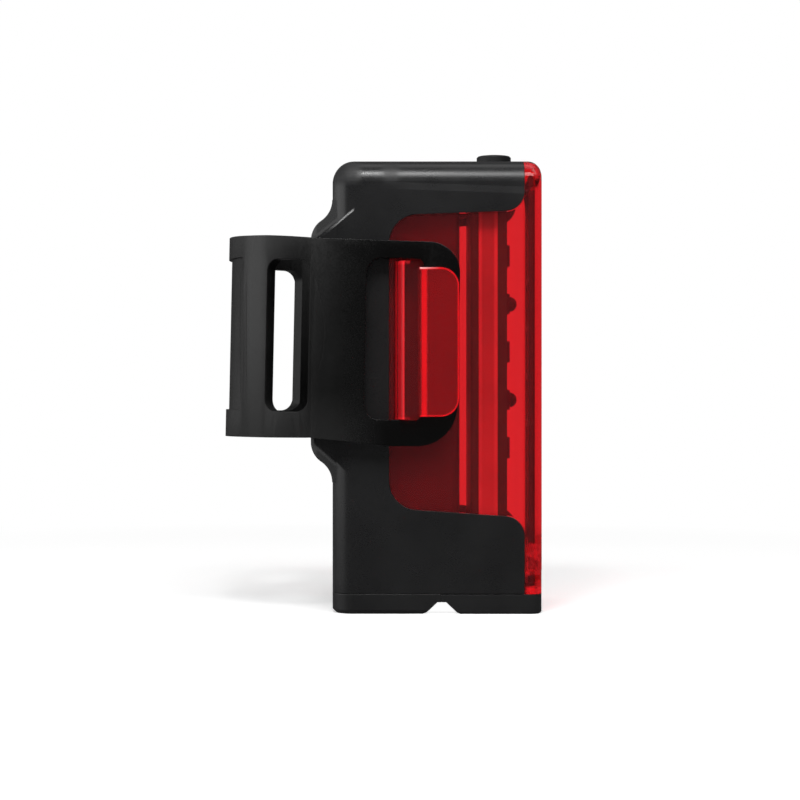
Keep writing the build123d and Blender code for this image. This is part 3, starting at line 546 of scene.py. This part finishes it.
# The strap: one piece of rubber with eased edges, in place of the three solids that carry its joint.
# The near arm starts at the turn, after a gap, and ends at its bar.
HAIR = 0.01 * MM
TURN_GAP = 0.1 * MM
AT_JOINT = 0.02 * MM
AT_WELD = 0.03 * MM
turn_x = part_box("strap_arm")[0][0] - TURN_GAP
end_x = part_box("strap_end")[0][0]
# The strap leans by this many degrees about a point between the tips of its arms
STRAP_LEAN = 1.2
TIP_ALONG = 12.475 * MM
tip = Matrix.Translation((TIP_ALONG, 0, HOOK_UP))
lean = tip @ Matrix.Rotation(radians(STRAP_LEAN), 4, "Y") @ tip.inverted()
upright = lean.inverted()


class Opening:
    """An opening through the strap, measured from its middle, whose round corners get a new radius."""

    def __init__(self, width, height, old, new):
        self.width, self.height, self.old, self.new = width, height, old, new

    def has(self, over, up):
        """Whether a point is on the opening's edge."""
        side, end = abs(over) - self.width / 2, abs(up) - self.height / 2
        in_corner = min(side, end) > -self.old - HAIR
        return max(side, end) < HAIR and (in_corner or max(side, end) > -HAIR)

    def opened(self, distance, span):
        """Where a point of the edge goes, along the opening's width or its height."""
        half, past = span / 2, abs(distance) - span / 2 + self.old
        if past > -HAIR:
            away = half - self.new + past * self.new / self.old
        else:
            away = abs(distance) * (half - self.new) / (half - self.old)
        return away * (1 if distance > 0 else -1)


# The slots' middles stand this many degrees round the turn, whose outside has this radius
NEAR_SLOT = 20.75
FAR_SLOT = 139.75
TURN_RADIUS = 14.93 * MM
SLOT = Opening(7.9 * MM, 24.3 * MM, 1.0 * MM, 2.0 * MM)
SLOT_UP = 44 * MM
WINDOW = Opening(9.1 * MM, 25.7 * MM, 1.0 * MM, 2.4 * MM)
WINDOW_ALONG = 2.125 * MM
WINDOW_UP = 43.75 * MM
# Degrees round the turn from the near side: where the solids have a point, and where the strap shows it.
# The near slot goes from 5.4 to 36.1 degrees in the solids, and the far one from 124.5 to 155.1.
SLID_NEAR = ((0, 0), (5.4, 1.3), (36.1, 30), (46, 46))
SLID_FAR = ((112, 112), (124.5, 131), (155.1, 161.5), (157.6, 165), (178, 178))
SLID = SLID_NEAR + SLID_FAR
# Cuts through the turn and the start of the arms, in millimetres, none of them close to the weld
STRAP_CUTS = (-20, -18.5, -17, -15.5, -14, -12.8, -11.9, -9.9, -8.8)


def reshape(piece, move):
    """Moves points of the strap. A move gets each point as if the strap stood upright, and says whether it
    has changed it."""
    for point in piece.data.vertices:
        at = upright @ point.co
        if move(at):
            point.co = lean @ at


def open_slot(angle, turn_radius=None):
    """A move that opens the corners of a slot at an angle round the turn. Given the turn's outer radius, it
    also takes the slot's walls square through the strap."""
    out = (-sin(radians(angle)), -cos(radians(angle)))
    side = (cos(radians(angle)), -sin(radians(angle)))

    def move(at):
        x, y, up = at.x - turn_x, at.y, at.z - SLOT_UP
        forward, over = x * out[0] + y * out[1], x * side[0] + y * side[1]
        if forward <= 0 or not SLOT.has(over, up):
            return False
        reach = hypot(forward, over)
        over = SLOT.opened(over, SLOT.width)
        if turn_radius:
            over = reach * over / turn_radius
        forward = sqrt(reach**2 - over**2)
        at.x = turn_x + forward * out[0] + over * side[0]
        at.y = forward * out[1] + over * side[1]
        at.z = SLOT_UP + SLOT.opened(up, SLOT.height)
        return True

    return move


def open_window(at):
    """Opens the rear corners of the windows that the hooks come through."""
    over, up = at.x - WINDOW_ALONG, at.z - WINDOW_UP
    if over >= 0 or not WINDOW.has(over, up):
        return False
    at.x = WINDOW_ALONG + WINDOW.opened(over, WINDOW.width)
    at.z = WINDOW_UP + WINDOW.opened(up, WINDOW.height)
    return True


def slide_round(at):
    """Slides the slots and what is beside them round the turn, nearer to the arms than in the solids."""
    angle, reach = degrees(atan2(turn_x - at.x, -at.y)), hypot(at.x - turn_x, at.y)
    for (low, new_low), (high, new_high) in zip(SLID, SLID[1:]):
        if low < angle <= high:
            angle = radians(new_low + (angle - low) * (new_high - new_low) / (high - low))
            at.x, at.y = turn_x - reach * sin(angle), -reach * cos(angle)
            return True
    return False


def is_joint_wall(face):
    """Whether a face is one of the walls between the three solids, on the near side."""
    at_joint = min(abs(face.center.x - turn_x), abs(face.center.x - end_x)) < AT_JOINT
    return face.center.y < 0 and abs(face.normal.x) > 0.99 and at_joint


def is_weld(edge):
    """Whether an edge runs along the weld between the turn and the near arm."""
    ends = [band.data.vertices[end].co for end in edge.vertices]
    return all(abs(end.x - turn_x) < AT_WELD and end.y < 0 for end in ends)


band = copied("strap_band", "strap", "strap_arm", "strap_end")
for point in band.data.vertices:
    if abs(point.co.x - turn_x - TURN_GAP) < AT_JOINT and point.co.y < 0:
        point.co.x = turn_x
bpy.ops.object.mode_set(mode="EDIT")
merge(0.002 * MM)
bpy.ops.object.mode_set(mode="OBJECT")
for move in (open_slot(NEAR_SLOT, TURN_RADIUS), open_slot(FAR_SLOT), open_window, slide_round):
    reshape(band, move)
bpy.ops.object.mode_set(mode="EDIT")
select_where(band, "FACE", is_joint_wall)
bpy.ops.mesh.delete(type="FACE")
merge(0.04 * MM)
select_where(band, "EDGE", is_weld)
bpy.ops.mesh.dissolve_edges()
bpy.ops.mesh.select_all(action="SELECT")
bpy.ops.mesh.dissolve_limited(angle_limit=radians(0.6))
cut_across([place * MM for place in STRAP_CUTS])
bpy.ops.mesh.select_all(action="SELECT")
bpy.ops.mesh.normals_make_consistent(inside=False)
bpy.ops.object.mode_set(mode="OBJECT")
ease_edges(band, 0.32 * MM, 3, 40)
bpy.ops.object.shade_smooth_by_angle(angle=radians(35))
dress(band, strap_black)
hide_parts("strap", "strap_arm", "strap_end")
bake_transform(band)

# The optic frame, with its far side squeezed forward to a thin rib
FAR_SIDE = 7 * MM
RIB_SHARE = 0.13
rim = copied("optic_rim", "optic_frame")
rim_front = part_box("optic_frame")[1][0]
for point in rim.data.vertices:
    if point.co.y > FAR_SIDE:
        point.co.x = rim_front - (rim_front - point.co.x) * RIB_SHARE
dress(rim, frame_dark)
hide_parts("optic_frame")
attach(rim, "light_body")

# The web over the notch, by the flap's edge, cut across many times
WEB_SIZE = (1.5 * MM, 23.9 * MM, 1.12 * MM)
WEB_UP = 2.5 * MM
WEB_FOLD = 0.13 * MM
bend_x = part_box("port_flap")[0][0] - 0.05 * MM
bpy.ops.object.select_all(action="DESELECT")
bpy.ops.mesh.primitive_cube_add(size=1, location=(bend_x, 0, WEB_UP))
web = bpy.context.object
web.name = "base_web"
web.scale = WEB_SIZE
bpy.ops.object.transform_apply(location=True, rotation=True, scale=True)
bpy.ops.object.mode_set(mode="EDIT")
cut_across([bend_x + fold * WEB_FOLD for fold in range(-5, 6)])
bpy.ops.object.mode_set(mode="OBJECT")
ease_edges(web, 0.08 * MM, 2, 30)
dress(web, base_black)
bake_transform(web)

# The floor, and the room's even light, white where the camera sees it
bpy.ops.object.select_all(action="DESELECT")
bpy.ops.mesh.primitive_plane_add(size=120, location=(0, 0, 0))
floor = bpy.context.object
floor.name = "floor"
dress(floor, floor_pale("floor_pale"))

ROOM_LIGHT = 0.09
room = bpy.data.worlds.new("studio")
bpy.context.scene.world = room
sky = Finish(room)
soft, white = (
    sky.step("ShaderNodeBackground", sockets={"Color": opaque(WHITE), "Strength": strength})
    for strength in (ROOM_LIGHT, 1.0)
)
seen = sky.larger(sky.ray("Camera"), sky.ray("Transmission"))
sky.cover(sky.either(seen, soft, white), "ShaderNodeOutputWorld")


# The lamps: where each stands, what it faces, its width and height, and its power
def lamp(name, place, aim, size, watts):
    """A soft square lamp that faces a point."""
    light = bpy.data.lights.new(name, "AREA")
    light.shape = "RECTANGLE"
    light.size, light.size_y = size
    light.energy = watts
    stand = bpy.data.objects.new(name, light)
    bpy.context.collection.objects.link(stand)
    stand.location = place
    stand.rotation_euler = (Vector(aim) - Vector(place)).to_track_quat("-Z", "Y").to_euler()


MIDDLE = (0, 0, 0.04)
lamp("front_softbox", (0.0, -0.3, 0.38), MIDDLE, (0.55, 0.14), 1.75)
lamp("near_softbox", (-0.012, -0.12, 0.22), (0, 0, 0.07), (0.02, 0.03), 0.07)
lamp("top_softbox", (0.02, 0.1, 0.45), MIDDLE, (0.4, 0.2), 0.2)
lamp("left_softbox", (-0.42, -0.12, 0.1), MIDDLE, (0.45, 0.4), 0.8)
lamp("rear_left_softbox", (-0.38, 0.2, 0.12), MIDDLE, (0.25, 0.4), 0.12)
lamp("right_softbox", (0.3, -0.1, 0.45), MIDDLE, (0.2, 0.3), 0.5)

view = bpy.context.scene.view_settings
view.view_transform = "Standard"
